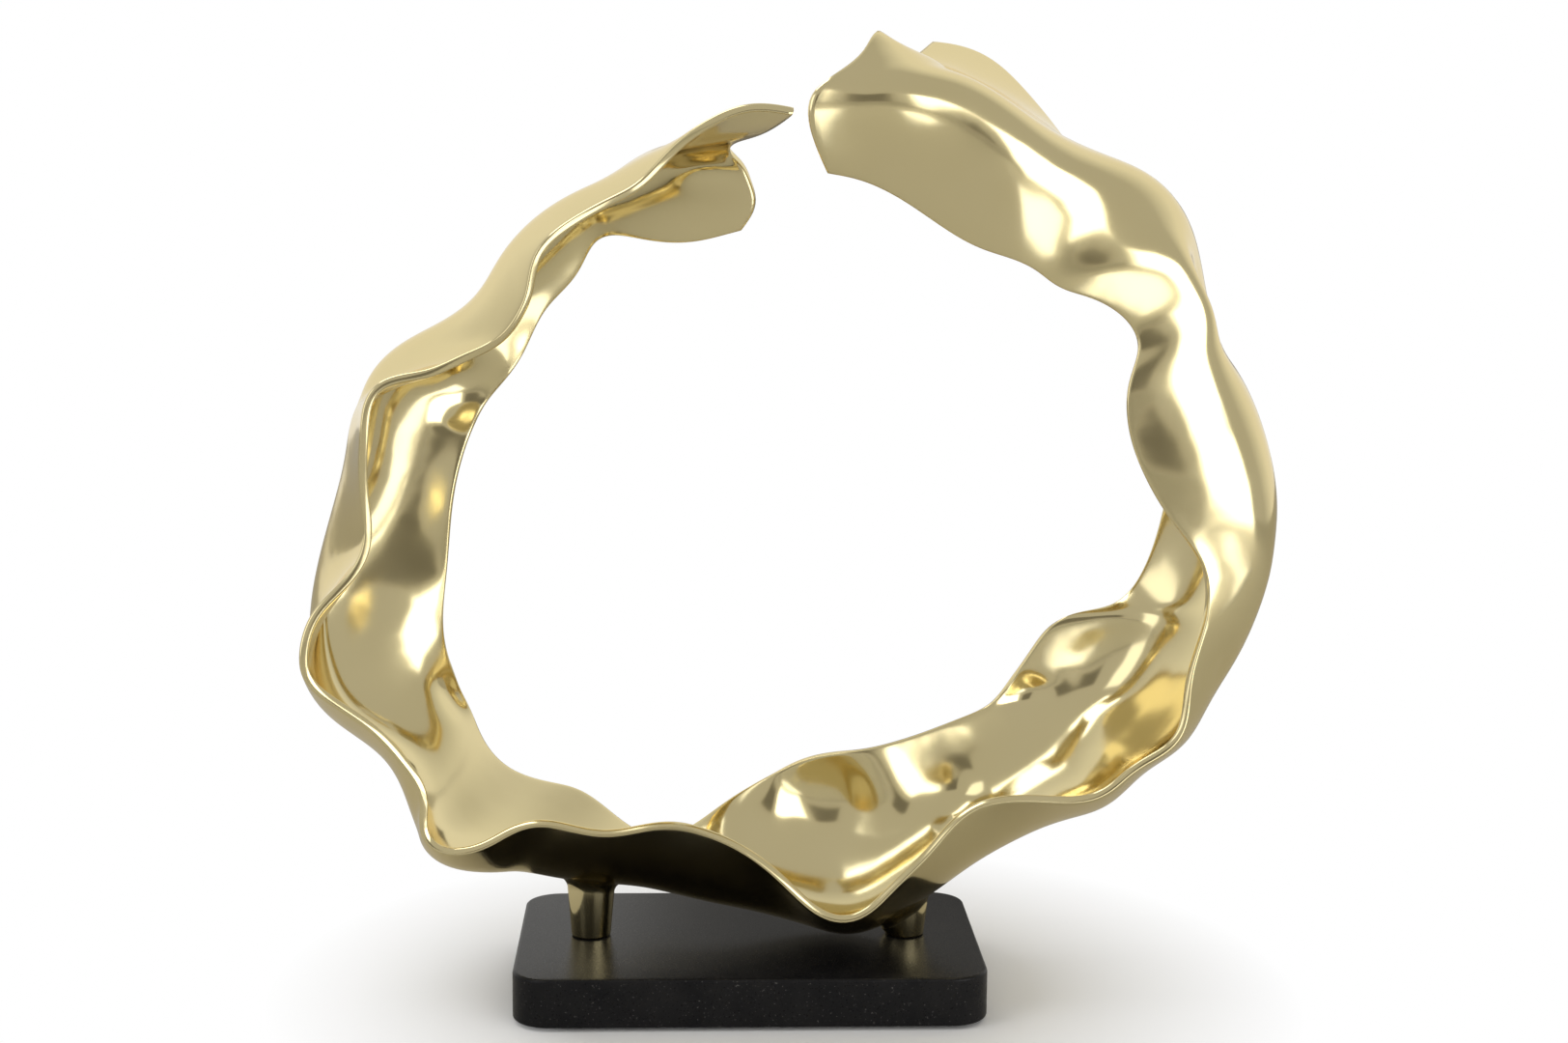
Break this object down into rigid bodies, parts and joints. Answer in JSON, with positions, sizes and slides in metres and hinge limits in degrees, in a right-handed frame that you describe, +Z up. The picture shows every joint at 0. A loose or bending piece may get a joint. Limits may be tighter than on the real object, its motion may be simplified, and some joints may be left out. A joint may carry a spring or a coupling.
{
  "type": "ring sculpture",
  "caption": "Tabletop sculpture: a wide wavy polished metal ribbon bent into an open ring, standing on short tapered posts screwed to a dark stone slab.",
  "frame": {"origin": "centre of the overall bounding box, at its bottom, which is the plane of the foot pads' undersides", "axes": "+Z up; the sculpture's front, the side seen in the picture, faces -Y; +X to the right when seen from the front"},
  "size_m": [0.497, 0.15, 0.4973],
  "materials": {
    "polished_metal": "polished, pale gold",
    "steel": "plain zinc plated",
    "stone": "honed top, near black with fine pale specks",
    "felt": "dense black felt"
  },
  "bodies": {
    "root": {"ribbon": "polished_metal", "left_post": "polished_metal", "right_post": "polished_metal", "left_screw": "steel", "right_screw": "steel", "left_washer": "steel", "right_washer": "steel", "base_slab": "stone", "foot_pad_front_left": "felt", "foot_pad_front_right": "felt", "foot_pad_back_left": "felt", "foot_pad_back_right": "felt"}
  },
  "joints": []
}
